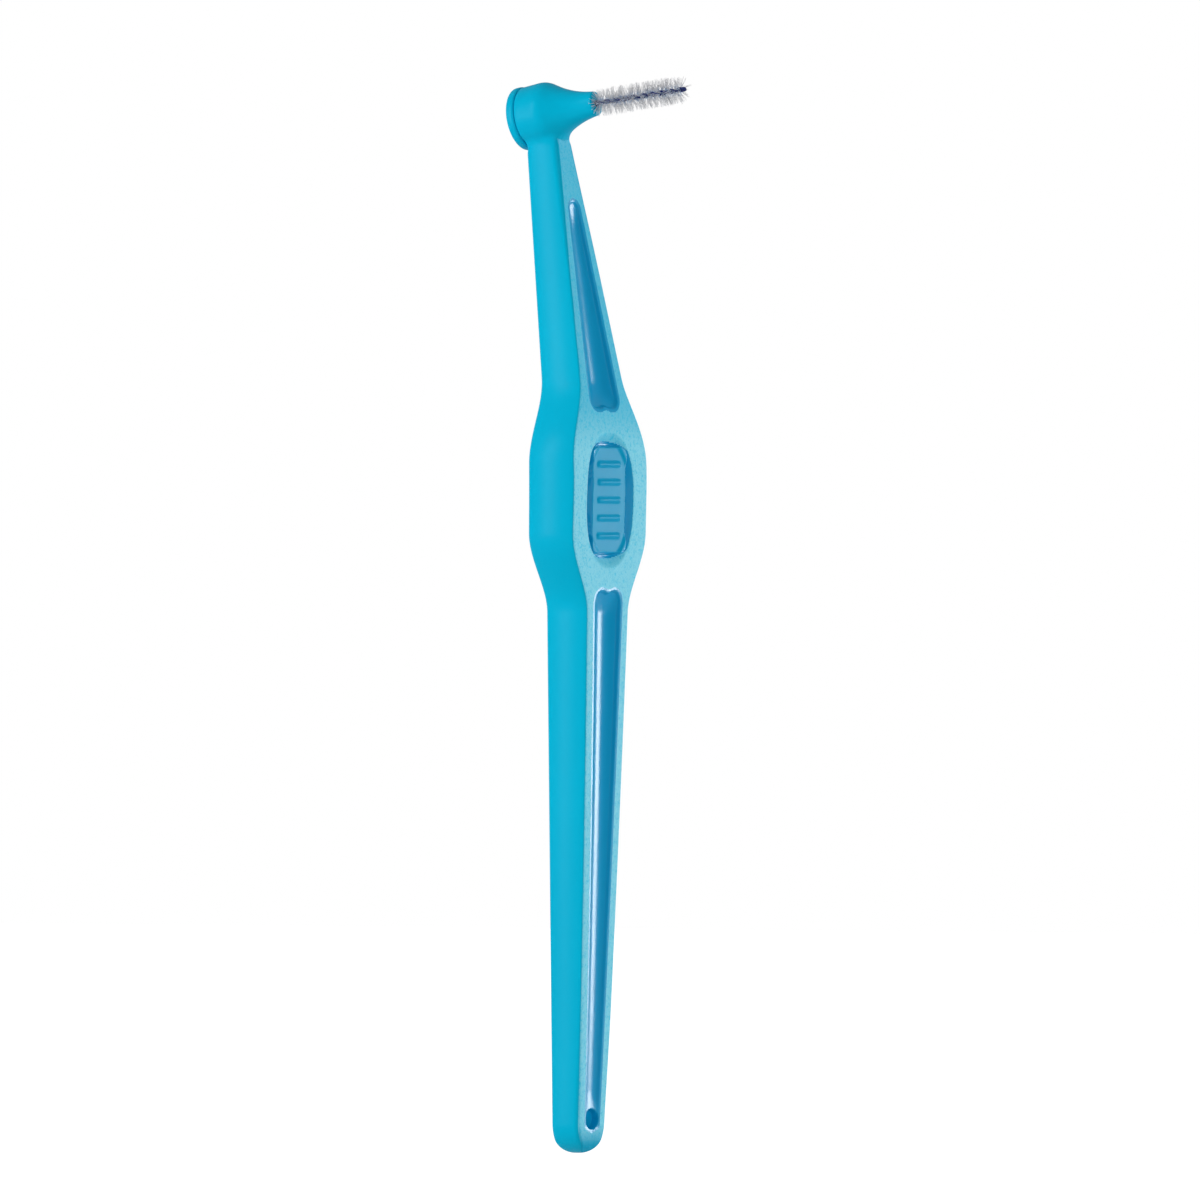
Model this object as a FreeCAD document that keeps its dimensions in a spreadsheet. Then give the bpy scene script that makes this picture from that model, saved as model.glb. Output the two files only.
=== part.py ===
import FreeCAD, Part
import Sketcher
import math
import os

# Interdental brush: a long moulded handle whose hub carries a twisted wire with nylon filaments.
# Frame: +Z up the handle to the head, +X the way the brush points, origin at the grip centre.
# Heights are measured from the grip centre, lengths in millimetres, angles in degrees.

Vector = FreeCAD.Vector
Rotation = FreeCAD.Rotation
across = Vector(0, 1, 0)
same_place = 0.01

sizes = {
    # Shaft: straight, tapering down to the butt
    "butt_drop": 91.4,
    "butt_width": 8.0,
    "butt_edge_radius": 1.9,
    "shaft_width_at_grip": 13.5,
    "shaft_back_at_butt": 3.3,
    "shaft_back_at_grip": 2.93,
    "shaft_front_at_butt": 0.99,
    "shaft_front_at_grip": 4.12,
    "shaft_front_bow": 0.21,
    # Paddle: the wide part between the fingers
    "paddle_width": 21.8,
    "paddle_back_swell": 0.37,
    "paddle_low_start": -15.7,
    "paddle_low_end": -4.6,
    "paddle_high_start": 5.1,
    "paddle_high_end": 17.1,
    # Neck: leans back and tapers up to the hub
    "neck_width_at_grip": 16.7,
    "neck_top_rise": 54.0,
    "neck_top_width": 4.2,
    "neck_back_angle": 7.8,
    "neck_back_bend_rise": 10.6,
    "neck_back_bend_length": 8.0,
    "neck_front_angle": 10.3,
    "neck_front_bend_rise": 7.45,
    "neck_front_bend_length": 14.0,
    # Section of the handle
    "side_crown_radius": 11.0,
    "front_corner_chamfer": 0.24,
    "back_corner_chamfer": 0.6,
    "corner_share": 0.4,
    "dome_first_angle": 8.0,
    "dome_sections": 8,
    "grip_sections": 26,
    # Hub: a barrel with a concave nose, turned about its own tilted axis
    "mouth_forward": 1.86,
    "mouth_rise": 55.54,
    "hub_tilt": 10.0,
    "hub_length": 11.1,
    "hub_seam_radius": 4.33,
    "hub_shoulder_back": 7.4,
    "hub_shoulder_radius": 4.5,
    "hub_shoulder_fillet": 1.6,
    "hub_waist_back": 3.6,
    "hub_waist_radius": 2.25,
    "hub_waist_fillet": 14.0,
    "mouth_radius": 1.7,
    "seam_chamfer": 0.15,
    "pocket_radius": 2.65,
    "pocket_depth": 2.8,
    # Rear cap
    "cap_radius": 4.45,
    "cap_thickness": 1.25,
    "cap_edge_chamfer": 0.3,
    "spigot_length": 1.2,
    "spigot_fit": 0.03,
    # Grooves, recess and pit of the handle
    "groove_wall_depth": 0.42,
    "groove_wall_chamfer": 0.38,
    "back_groove_depth": 0.6,
    "groove_corner_radius": 2.2,
    "groove_notch": 0.28,
    "upper_groove_start": 12.2,
    "upper_groove_end": 42.35,
    "upper_groove_wide": 8.1,
    "upper_groove_narrow": 3.7,
    "lower_groove_start": -12.15,
    "lower_groove_end": -88.74,
    "lower_groove_wide": 7.65,
    "lower_groove_narrow": 4.3,
    "lower_groove_tip_rise": 0.84,
    "scoop_margin": 0.6,
    "scoop_share": 0.17,
    "scoop_overlap": 0.05,
    "scoop_room": 2.0,
    "scoop_wide_stop": 0.15,
    "scoop_wide_round": 2.0,
    "scoop_narrow_stop": 0.9,
    "scoop_narrow_round": 0.9,
    "recess_width": 13.2,
    "recess_length": 19.1,
    "recess_end_radius": 3.0,
    "recess_depth": 1.05,
    "back_recess_depth": 0.8,
    "recess_floor_chamfer": 0.5,
    "pad_margin": 1.5,
    "pad_sink": 0.2,
    "pad_edge_chamfer": 0.25,
    "ridge_count": 5,
    "ridge_pitch": 2.5,
    "ridge_radius": 0.45,
    "ridge_height": 0.2,
    "pit_drop": 86.6,
    "pit_half_width": 1.85,
    "pit_half_height": 1.5,
    "pit_depth": 2.1,
    # Wire: one coated wire folded at the tip and twisted
    "wire_tilt": 7.3,
    "core_radius": 0.11,
    "core_sides": 4,
    "coating_wall": 0.065,
    "coating_sides": 6,
    "bore_clearance": 0.05,
    "twist_pitch": 3.0,
    "twist_turns": 4.875,
    "steps_per_turn": 8,
    "bend_steps": 2,
    "twist_start_back": 0.75,
    "tip_loop_radius": 0.21,
    "tip_loop_run": 0.35,
    "hook_gap": 0.5,
    "hook_bend_radius": 0.5,
    "hook_reach": 1.7,
    # Filaments
    "filament_radius": 0.035,
    "filament_sides": 4,
    "filament_length": 4.1,
    "filament_first": 0.4,
    "filament_spacing": 0.088,
    "filament_row_count": 9,
    "filaments_per_row": 17,
}

doc = FreeCAD.newDocument("interdental_brush")


def make_sheet():
    sheet = doc.addObject("Spreadsheet::Sheet", "sizes")
    for row, (name, value) in enumerate(sizes.items(), start=1):
        sheet.set(f"A{row}", name)
        sheet.set(f"B{row}", str(value))
        sheet.setAlias(f"B{row}", name)
    doc.recompute()
    return sheet


sheet = make_sheet()


def size(name):
    return float(getattr(sheet, name))


def slope(name):
    return math.tan(math.radians(size(name)))


def bind(thing, path, formula):
    thing.setExpression(path, formula)


def add_shape(name, shape):
    feature = doc.addObject("Part::Feature", name)
    feature.Shape = shape
    return feature


# Grip blank


def ease(height, low, high):
    share = min(max((height - low) / (high - low), 0.0), 1.0)
    return share * share * (3.0 - 2.0 * share)


def bend(height, centre, length):
    # Rises from zero to a slope of one, along a parabola of the given length
    run = min(max(height - centre + length / 2, 0.0), length)
    return run * run / (2 * length) + max(height - centre - length / 2, 0.0)


def paddle_swell(height):
    if height < 0:
        return ease(height, size("paddle_low_start"), size("paddle_low_end"))
    return 1.0 - ease(height, size("paddle_high_start"), size("paddle_high_end"))


def back_face(height):
    taper = (size("shaft_back_at_butt") - size("shaft_back_at_grip")) / size("butt_drop")
    shaft = size("shaft_back_at_grip") - taper * min(height, 0.0)
    lean = bend(height, size("neck_back_bend_rise"), size("neck_back_bend_length"))
    return -shaft - size("paddle_back_swell") * paddle_swell(height) - slope("neck_back_angle") * lean


def shaft_front_slope():
    return (size("shaft_front_at_grip") - size("shaft_front_at_butt")) / size("butt_drop")


def front_face(height):
    lean = bend(height, size("neck_front_bend_rise"), size("neck_front_bend_length"))
    turn = slope("neck_front_angle") + shaft_front_slope()
    share = max(-height, 0.0) / size("butt_drop")
    bow = 4 * size("shaft_front_bow") * share * (1 - share)
    return size("shaft_front_at_grip") + shaft_front_slope() * height + bow - turn * lean


def half_width(height):
    if height < 0:
        share = -height / size("butt_drop")
        base = size("shaft_width_at_grip") + (size("butt_width") - size("shaft_width_at_grip")) * share
    else:
        share = height / size("neck_top_rise")
        base = size("neck_width_at_grip") + (size("neck_top_width") - size("neck_width_at_grip")) * share
    return (base + (size("paddle_width") - base) * paddle_swell(height)) / 2


def inset(above_butt, radius):
    # How far a quarter-round edge stands back at a height above the butt
    rest = max(radius - above_butt, 0.0)
    return radius - math.sqrt(radius * radius - rest * rest)


def section_wire(height):
    above_butt = height + size("butt_drop")
    half = half_width(height)
    half -= inset(above_butt, half)
    edge = inset(above_butt, size("butt_edge_radius"))
    front = front_face(height) - edge
    back = back_face(height) + edge
    room = size("corner_share") * min(half, (front - back) / 2)
    crown = size("side_crown_radius")
    middle = (front + back) / 2
    front_chamfer = min(size("front_corner_chamfer"), room)
    back_chamfer = min(size("back_corner_chamfer"), room)

    def side_at(x):
        # Out to the crowned side of the section
        return half - crown + math.sqrt(crown ** 2 - (x - middle) ** 2)

    def point(x, y):
        return Vector(x, y, height)

    runs = []
    for side in (1, -1):
        front_end = point(front, side * (side_at(front) - front_chamfer))
        front_side = point(front - front_chamfer, side * side_at(front - front_chamfer))
        back_side = point(back + back_chamfer, side * side_at(back + back_chamfer))
        back_end = point(back, side * (side_at(back) - back_chamfer))
        runs.append([
            Part.makeLine(front_end, front_side),
            Part.Arc(front_side, point(middle, side * half), back_side).toShape(),
            Part.makeLine(back_side, back_end),
        ])
    front_ends = [run[0].Vertexes[0].Point for run in runs]
    back_ends = [run[2].Vertexes[1].Point for run in runs]
    front_line = Part.makeLine(front_ends[1], front_ends[0])
    back_line = Part.makeLine(back_ends[0], back_ends[1])
    return Part.Wire(runs[0] + [back_line] + runs[1][::-1] + [front_line])


def grip_stations():
    # Close together round the domed butt, then evenly spaced up to the hub
    dome_radius = size("butt_width") / 2
    dome_sections = int(size("dome_sections"))
    grip_sections = int(size("grip_sections"))
    first_angle = math.radians(size("dome_first_angle"))
    heights = []
    for step in range(dome_sections):
        angle = first_angle + (math.pi / 2 - first_angle) * step / dome_sections
        heights.append(dome_radius * (1 - math.cos(angle)) - size("butt_drop"))
    shaft_start = dome_radius - size("butt_drop")
    for step in range(grip_sections):
        share = step / (grip_sections - 1)
        heights.append(shaft_start + (size("neck_top_rise") - shaft_start) * share)
    return heights


def make_grip_blank():
    wires = [section_wire(height) for height in grip_stations()]
    return add_shape("grip_blank", Part.makeLoft(wires, True, False))


# Sketch helpers


def origin_plane(body, role):
    return next(plane for plane in body.Origin.OriginFeatures if plane.Role == role)


def draw_outline(sketch, corners):
    # Each corner is a pair of formulas over the sheet: along the turning axis, and out from it
    points = []
    for corner in corners:
        along, out = (float(sketch.evalExpression(formula)) for formula in corner)
        points.append(Vector(along, out, 0))
    count = len(points)
    for index in range(count):
        sketch.addGeometry(Part.LineSegment(points[index], points[(index + 1) % count]))
    for index in range(count):
        sketch.addConstraint(Sketcher.Constraint("Coincident", index, 2, (index + 1) % count, 1))
    for index, corner in enumerate(corners):
        for formula, kind, axis in zip(corner, ("DistanceX", "DistanceY"), (-2, -1)):
            if formula == "0":
                sketch.addConstraint(Sketcher.Constraint("PointOnObject", index, 1, axis))
            else:
                place = points[index].x if kind == "DistanceX" else points[index].y
                number = sketch.addConstraint(Sketcher.Constraint(kind, -1, 1, index, 1, place))
                bind(sketch, f"Constraints[{number}]", formula)


def turned_body(name, corners):
    # A body turned about its own X axis from an outline in its XZ plane
    body = doc.addObject("PartDesign::Body", name)
    sketch = body.newObject("Sketcher::SketchObject", name + "_outline")
    sketch.AttachmentSupport = [(origin_plane(body, "XZ_Plane"), "")]
    sketch.MapMode = "FlatFace"
    draw_outline(sketch, corners)
    turned = body.newObject("PartDesign::Revolution", name + "_turned")
    turned.Profile = sketch
    turned.ReferenceAxis = (sketch, ["H_Axis"])
    turned.Angle = 360
    doc.recompute()
    return body


def dress_edge(body, kind, along, radius, property_name, formula):
    # Rounds or chamfers the circular edge of a turned body at a place along its axis
    base = body.Tip
    names = []
    for number, edge in enumerate(base.Shape.Edges, start=1):
        curve = edge.Curve
        if not isinstance(curve, Part.Circle):
            continue
        if abs(curve.Center.x - along) < same_place and abs(curve.Radius - radius) < same_place:
            names.append(f"Edge{number}")
    dressed = body.newObject("PartDesign::" + kind, f"{body.Name}_{kind.lower()}_{len(body.Group)}")
    dressed.Base = (base, names)
    bind(dressed, property_name, formula)
    doc.recompute()


def mouth_point():
    return Vector(size("mouth_forward"), 0, size("mouth_rise"))


def hub_placement():
    # Local X runs back from the mouth along the hub's axis
    return FreeCAD.Placement(mouth_point(), Rotation(across, 180 - size("hub_tilt")))


def wire_placement():
    # Local X runs forward from the mouth along the wire
    return FreeCAD.Placement(mouth_point(), Rotation(across, -size("wire_tilt")))


# Hub and rear cap


def make_hub():
    hub = turned_body("hub_blank", [
        ("0", "0"),
        ("0", "sizes.mouth_radius"),
        ("sizes.hub_waist_back", "sizes.hub_waist_radius"),
        ("sizes.hub_shoulder_back", "sizes.hub_shoulder_radius"),
        ("sizes.hub_length", "sizes.hub_seam_radius"),
        ("sizes.hub_length", "0"),
    ])
    for part in ("hub_waist", "hub_shoulder"):
        along = size(part + "_back")
        radius = size(part + "_radius")
        dress_edge(hub, "Fillet", along, radius, "Radius", f"sizes.{part}_fillet")
    dress_edge(hub, "Chamfer", size("hub_length"), size("hub_seam_radius"), "Size", "sizes.seam_chamfer")
    hub.Placement = hub_placement()
    return hub


def make_pocket_tool():
    # Room at the back of the hub for the bent wire ends and the spigot of the cap
    tool = turned_body("pocket_tool", [
        ("sizes.hub_length - sizes.pocket_depth", "0"),
        ("sizes.hub_length - sizes.pocket_depth", "sizes.pocket_radius"),
        ("sizes.hub_length + sizes.cap_thickness", "sizes.pocket_radius"),
        ("sizes.hub_length + sizes.cap_thickness", "0"),
    ])
    tool.Placement = hub_placement()
    return tool


def make_rear_cap():
    cap = turned_body("rear_cap", [
        ("sizes.hub_length - sizes.spigot_length", "0"),
        ("sizes.hub_length - sizes.spigot_length", "sizes.pocket_radius - sizes.spigot_fit"),
        ("sizes.hub_length", "sizes.pocket_radius - sizes.spigot_fit"),
        ("sizes.hub_length", "sizes.cap_radius"),
        ("sizes.hub_length + sizes.cap_thickness", "sizes.cap_radius"),
        ("sizes.hub_length + sizes.cap_thickness", "0"),
    ])
    back = size("hub_length") + size("cap_thickness")
    dress_edge(cap, "Chamfer", back, size("cap_radius"), "Size", "sizes.cap_edge_chamfer")
    dress_edge(cap, "Chamfer", size("hub_length"), size("cap_radius"), "Size", "sizes.seam_chamfer")
    cap.Placement = hub_placement()
    return cap


# Wire bore


strand_radius = "(sizes.core_radius + sizes.coating_wall)"
strand_offset = "(sizes.core_radius + sizes.coating_wall + sizes.filament_radius)"
bore_radius = f"({strand_offset} + {strand_radius} + sizes.bore_clearance)"


def make_bore_tool():
    bore = doc.addObject("Part::Cylinder", "bore_tool")
    bind(bore, "Radius", bore_radius)
    bind(bore, "Height", "sizes.hub_length - sizes.pocket_depth / 2")
    bore.Placement = wire_placement().multiply(FreeCAD.Placement(Vector(), Rotation(across, -90)))
    return bore


# Grooves, recess, pit and pad of the handle


def face_frame(start_height, end_height, face, inward):
    # Origin on a face of the handle, with the unit directions along it and into it
    start_point = Vector(face(start_height), 0, start_height)
    end_point = Vector(face(end_height), 0, end_height)
    along = (end_point - start_point).normalize()
    into = along.cross(across)
    if into.x * inward < 0:
        into = into * -1
    return start_point, along, into


def sunk_tool(wire, into, depth):
    # A cutter that stands proud of the face, and the edges of its floor
    proud = depth
    lifted = wire.copy()
    lifted.translate(into * -proud)
    solid = Part.Face(lifted).extrude(into * (proud + depth))
    floor = max(solid.Faces, key=lambda face: face.CenterOfMass.dot(into))
    return solid, floor.Edges


def narrow_end(part, length):
    # The two corners of the narrow end: how far along, how far out, and their radius
    half = size(part + "_narrow") / 2
    if part == "lower_groove":
        return length - size("lower_groove_tip_rise"), half, 0.0
    return length - half, 0.0, half


def groove_wire(part, origin, along, length):
    # Tapered slot: a notched wide end with rounded corners, straight sides, a round or pointed narrow end
    corner = size("groove_corner_radius")
    notch = size("groove_notch")
    corner_half = size(part + "_wide") / 2 - corner
    reach = (corner_half ** 2 + notch ** 2) / (2 * notch)
    notch_centre = notch - (reach - corner)
    end_run, end_out, end_radius = narrow_end(part, length)

    def point(run, out):
        return origin + along * run + across * out

    def on_corner(angle, side):
        return point(corner + corner * math.cos(angle), side * (corner_half + corner * math.sin(angle)))

    lean = math.atan2(corner_half - end_out, end_run - corner)
    centre_gap = math.hypot(end_run - corner, corner_half - end_out)
    side_angle = math.pi / 2 - math.asin((end_radius - corner) / centre_gap) - lean
    touch_angle = math.atan2(-corner_half, notch_centre - corner)
    edges = []
    side_ends = []
    for side in (1, -1):
        side_touch = on_corner(side_angle, side)
        notch_touch = on_corner(2 * math.pi + touch_angle, side)
        half_way = on_corner((side_angle + 2 * math.pi + touch_angle) / 2, side)
        tip_touch = point(
            end_run + end_radius * math.cos(side_angle),
            side * (end_out + end_radius * math.sin(side_angle)),
        )
        side_line = Part.makeLine(tip_touch, side_touch)
        corner_arc = Part.Arc(side_touch, half_way, notch_touch).toShape()
        edges.append([side_line, corner_arc])
        side_ends.append((tip_touch, notch_touch))
    notch_arc = Part.Arc(side_ends[0][1], point(notch, 0), side_ends[1][1]).toShape()
    tip = point(length, 0)
    if end_radius > 0:
        tip_edges = [Part.Arc(side_ends[1][0], tip, side_ends[0][0]).toShape()]
    else:
        tip_edges = [Part.makeLine(side_ends[1][0], tip), Part.makeLine(tip, side_ends[0][0])]
    return Part.Wire(edges[0] + [notch_arc] + edges[1][::-1] + tip_edges)


def make_scoop_tool(name, part, origin, along, into, length):
    # The hollow floor of a groove: a cone whose point lies where the sides of the groove would meet,
    # tilted so that it dips under the foot of the walls by the same share of the width all along
    end_run, end_out, end_radius = narrow_end(part, length)
    wide = size(part + "_wide") / 2
    taper = (wide - end_out - end_radius) / end_run
    apex_run = (wide - size("scoop_margin")) / taper
    plan_angle = math.atan(taper)
    dip = math.atan(size("scoop_share") * taper)
    tilt = math.atan((math.cos(dip) - math.cos(plan_angle)) / math.sin(dip))
    spread = math.tan(tilt + dip)
    way = along * math.cos(tilt) + into * math.sin(tilt)
    foot = origin + into * size("groove_wall_depth")
    apex = foot + along * apex_run
    wide_reach = (apex_run - size("scoop_wide_stop")) * math.cos(tilt)
    narrow_reach = (apex_run - length + size("scoop_narrow_stop")) * math.cos(tilt)
    cone = doc.addObject("Part::Cone", name + "_cone")
    cone.Radius1 = wide_reach * spread
    cone.Radius2 = narrow_reach * spread
    cone.Height = wide_reach - narrow_reach
    cone.Placement = FreeCAD.Placement(apex - way * wide_reach, Rotation(Vector(0, 0, 1), way))
    doc.recompute()
    rims = [number for number, edge in enumerate(cone.Shape.Edges, start=1) if edge.isClosed()]
    rims.sort(key=lambda number: -cone.Shape.Edges[number - 1].Curve.Radius)
    rounded = doc.addObject("Part::Fillet", name + "_rounded")
    rounded.Base = cone
    rounds = (size("scoop_wide_round"), size("scoop_narrow_round"))
    rounded.Edges = [(number, radius, radius) for number, radius in zip(rims, rounds)]
    below = doc.addObject("Part::Box", name + "_below")
    bind(below, "Length", "sizes.scoop_room + sizes.scoop_overlap")
    bind(below, "Width", f"sizes.{part}_wide")
    below.Height = length
    corner = foot - into * size("scoop_overlap") - across * wide
    below.Placement = FreeCAD.Placement(corner, Rotation(into, across, along, "ZXY"))
    scoop = doc.addObject("Part::Common", name)
    scoop.Base = rounded
    scoop.Tool = below
    return scoop


def groove_frame(part, face, inward):
    start_height = size(part + "_start")
    end_height = size(part + "_end")
    origin, along, into = face_frame(start_height, end_height, face, inward)
    length = (Vector(face(end_height), 0, end_height) - origin).Length
    return origin, along, into, length


def make_front_groove_tools(part):
    origin, along, into, length = groove_frame(part, front_face, -1)
    wire = groove_wire(part, origin, along, length)
    solid, floor_edges = sunk_tool(wire, into, size("groove_wall_depth"))
    wall = add_shape(part + "_wall", solid.makeChamfer(size("groove_wall_chamfer"), floor_edges))
    return [wall, make_scoop_tool(part + "_scoop", part, origin, along, into, length)]


def make_back_groove_tool(part):
    # The same outline on the back, with a flat floor and plain walls
    origin, along, into, length = groove_frame(part, back_face, 1)
    wire = groove_wire(part, origin, along, length)
    solid = sunk_tool(wire, into, size("back_groove_depth"))[0]
    return add_shape("back_" + part + "_wall", solid)


def almond_wire(origin, half, half_length, end_radius):
    # Two long side arcs and two end arcs, tangent to each other
    end_centre = half_length - end_radius
    side_radius = (half ** 2 + end_centre ** 2 - end_radius ** 2) / (2 * (half - end_radius))
    side_centre = half - side_radius
    reach = side_radius / (side_radius - end_radius)
    touch_out = side_centre - side_centre * reach
    touch_up = end_centre * reach

    def point(out, up):
        return origin + Vector(0, out, up)

    lower_right = point(touch_out, -touch_up)
    upper_right = point(touch_out, touch_up)
    upper_left = point(-touch_out, touch_up)
    lower_left = point(-touch_out, -touch_up)
    return Part.Wire([
        Part.Arc(lower_right, point(half, 0), upper_right).toShape(),
        Part.Arc(upper_right, point(0, half_length), upper_left).toShape(),
        Part.Arc(upper_left, point(-half, 0), lower_left).toShape(),
        Part.Arc(lower_left, point(0, -half_length), lower_right).toShape(),
    ])


def make_recess_tool(name, face, inward, depth_name):
    origin = Vector(face(0), 0, 0)
    half = size("recess_width") / 2
    wire = almond_wire(origin, half, size("recess_length") / 2, size("recess_end_radius"))
    solid, floor_edges = sunk_tool(wire, Vector(inward, 0, 0), size(depth_name))
    return add_shape(name, solid.makeChamfer(size("recess_floor_chamfer"), floor_edges))


def make_pit_tool():
    # Oval pit across the foot of the lower groove
    height = -size("pit_drop")
    outline = doc.addObject("Part::Ellipse", "pit_outline")
    bind(outline, "MajorRadius", "sizes.pit_half_width")
    bind(outline, "MinorRadius", "sizes.pit_half_height")
    turn = Rotation(across, Vector(0, 0, 1), Vector(1, 0, 0), "ZXY")
    outline.Placement = FreeCAD.Placement(Vector(front_face(height) - size("pit_depth"), 0, height), turn)
    pit = doc.addObject("Part::Extrusion", "pit_tool")
    pit.Base = outline
    pit.DirMode = "Custom"
    pit.Dir = Vector(1, 0, 0)
    bind(pit, "LengthFwd", "2 * sizes.pit_depth")
    pit.Solid = True
    return pit


def make_pad():
    # Plain raised pad in the front recess, with cross ridges for the thumb
    margin = size("pad_margin")
    floor_x = front_face(0) - size("recess_depth")
    height = size("recess_depth") - size("pad_sink")
    wire = almond_wire(
        Vector(floor_x, 0, 0),
        size("recess_width") / 2 - margin,
        size("recess_length") / 2 - margin,
        size("recess_end_radius") - margin / 2,
    )
    solid = Part.Face(wire).extrude(Vector(height, 0, 0))
    top = max(solid.Faces, key=lambda face: face.CenterOfMass.x)
    pad = add_shape("thumb_pad", solid.makeChamfer(size("pad_edge_chamfer"), top.Edges))
    ridges = []
    count = int(size("ridge_count"))
    for number in range(count):
        up = (number - (count - 1) / 2) * size("ridge_pitch")
        end_centre = size("recess_length") / 2 - size("recess_end_radius")
        share = 1 - (up / (end_centre + size("recess_end_radius"))) ** 2
        length = (size("recess_width") - 4 * margin) * math.sqrt(share)
        ridge = doc.addObject("Part::Cylinder", f"thumb_ridge_{number + 1}")
        bind(ridge, "Radius", "sizes.ridge_radius")
        ridge.Height = length
        ridge.Placement = FreeCAD.Placement(
            Vector(floor_x + height + size("ridge_height") - size("ridge_radius"), length / 2, up),
            Rotation(Vector(1, 0, 0), 90),
        )
        ridges.append(ridge)
    return [pad] + ridges


def make_handle():
    blank = doc.addObject("Part::MultiFuse", "handle_blank")
    blank.Shapes = [make_grip_blank(), make_hub()]
    tools = doc.addObject("Part::MultiFuse", "handle_tools")
    grooves = []
    for part in ("upper_groove", "lower_groove"):
        grooves += make_front_groove_tools(part)
        grooves.append(make_back_groove_tool(part))
    tools.Shapes = grooves + [
        make_recess_tool("recess_tool", front_face, -1, "recess_depth"),
        make_recess_tool("back_recess_tool", back_face, 1, "back_recess_depth"),
        make_pit_tool(),
        make_pocket_tool(),
        make_bore_tool(),
    ]
    cut = doc.addObject("Part::Cut", "handle_cut")
    cut.Base = blank
    cut.Tool = tools
    handle = doc.addObject("Part::MultiFuse", "handle")
    handle.Shapes = [cut] + make_pad()
    return handle


# Twisted wire


def helix_station(run, offset, phase):
    # Point and direction of one strand at a distance along the wire, past the start of the twist
    angle = phase + 2 * math.pi * run / size("twist_pitch")
    start = -size("twist_start_back")
    rate = 2 * math.pi / size("twist_pitch") * offset
    point = Vector(start + run, offset * math.cos(angle), offset * math.sin(angle))
    direction = Vector(1, -rate * math.sin(angle), rate * math.cos(angle)).normalize()
    return point, direction


def bend_stations(centre, radius, out, forward, turn, steps):
    # Points and directions round a bend that starts beside its centre and turns inwards
    stations = []
    for step in range(steps + 1):
        angle = turn * step / steps
        point = centre + (out * math.cos(angle) + forward * math.sin(angle)) * radius
        stations.append((point, forward * math.cos(angle) - out * math.sin(angle)))
    return stations


def strand_stations():
    # The whole wire: hook, leg, twist, tip fold, twist back, leg, hook
    offset = size("core_radius") + size("coating_wall") + size("filament_radius")
    hook_back = size("hub_length") - size("spigot_length") - size("hook_gap")
    bend_radius = size("hook_bend_radius")
    bend_steps = int(size("bend_steps"))
    twist_steps = int(round(size("steps_per_turn") * size("twist_turns")))
    step_length = size("twist_pitch") / size("steps_per_turn")
    forward = Vector(1, 0, 0)
    legs = []
    for phase in (0.0, math.pi):
        side = across * math.cos(phase)
        bend_centre = forward * (bend_radius - hook_back) + side * (offset + bend_radius)
        leg = [(forward * -hook_back + side * size("hook_reach"), side * -1)]
        leg += bend_stations(bend_centre, bend_radius, forward * -1, side * -1, math.pi / 2, bend_steps)
        for step in range(twist_steps + 1):
            leg.append(helix_station(step * step_length, offset, phase))
        legs.append(leg)
    tip_point = legs[0][-1][0]
    out = (tip_point - forward * tip_point.x).normalize()
    loop_centre = forward * (tip_point.x + size("tip_loop_run"))
    fold = bend_stations(loop_centre, size("tip_loop_radius"), out, forward, math.pi, 2 * bend_steps)
    back_leg = [(point, direction * -1) for point, direction in reversed(legs[1])]
    return legs[0] + fold + back_leg


def ring_round(centre, out, way, radius, sides):
    # A round section drawn with a few sides, square to the way it runs
    side_way = way.cross(out)
    corners = []
    for number in range(sides + 1):
        angle = 2 * math.pi * number / sides
        corners.append(centre + (out * math.cos(angle) + side_way * math.sin(angle)) * radius)
    return Part.makePolygon(corners)


def tube_along(stations, radius, sides):
    out = Vector(1, 0, 0)
    last_way = stations[0][1]
    rings = []
    for centre, way in stations:
        out = Rotation(last_way, way).multVec(out)
        rings.append(ring_round(centre, out, way, radius, sides))
        last_way = way
    tube = Part.makeLoft(rings, True, True)
    run = sum((second[0] - first[0]).Length for first, second in zip(stations, stations[1:]))
    print("tube volume against section times length", tube.Volume, Part.Face(rings[0]).Area * run)
    return tube


def make_wires():
    stations = strand_stations()
    coated_radius = size("core_radius") + size("coating_wall")
    core_shape = tube_along(stations, size("core_radius"), int(size("core_sides")))
    coated_shape = tube_along(stations, coated_radius, int(size("coating_sides")))
    core = add_shape("wire_core", core_shape)
    coating = add_shape("wire_coating", coated_shape.cut(core_shape))
    for wire in (core, coating):
        wire.Placement = wire_placement()
    return [core, coating]


# Filaments


def make_filament_rows():
    # Straight filaments between the strands, each square to the pair of strands where it lies
    rows = []
    per_row = int(size("filaments_per_row"))
    length = size("filament_length")
    for row in range(int(size("filament_row_count"))):
        strands = []
        for place in range(per_row):
            along = size("filament_first") + size("filament_spacing") * (row * per_row + place)
            angle = 2 * math.pi * (along + size("twist_start_back")) / size("twist_pitch") + math.pi / 2
            way = Vector(0, math.cos(angle), math.sin(angle))
            start_point = Vector(along, 0, 0) - way * (length / 2)
            ring = ring_round(
                start_point, Vector(1, 0, 0), way, size("filament_radius"), int(size("filament_sides"))
            )
            strands.append(Part.Face(ring).extrude(way * length))
        feature = add_shape(f"filament_row_{row + 1:02d}", Part.makeCompound(strands))
        feature.Placement = wire_placement()
        rows.append(feature)
    return rows


def check_and_write(nodes):
    doc.recompute()
    for thing in doc.Objects:
        if "Invalid" in thing.State or "Error" in thing.State:
            raise RuntimeError(f"{thing.Name} failed: {thing.State}")
    for node in nodes:
        if node.Shape.isNull() or not node.Shape.isValid():
            raise RuntimeError(f"{node.Label} has no valid shape")
    os.makedirs("parts", exist_ok=True)
    for node in nodes:
        node.Shape.exportStep(f"parts/{node.Label}.step")
        print(node.Label, len(node.Shape.Solids), "solids", round(node.Shape.Volume, 3), "mm3")


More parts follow.
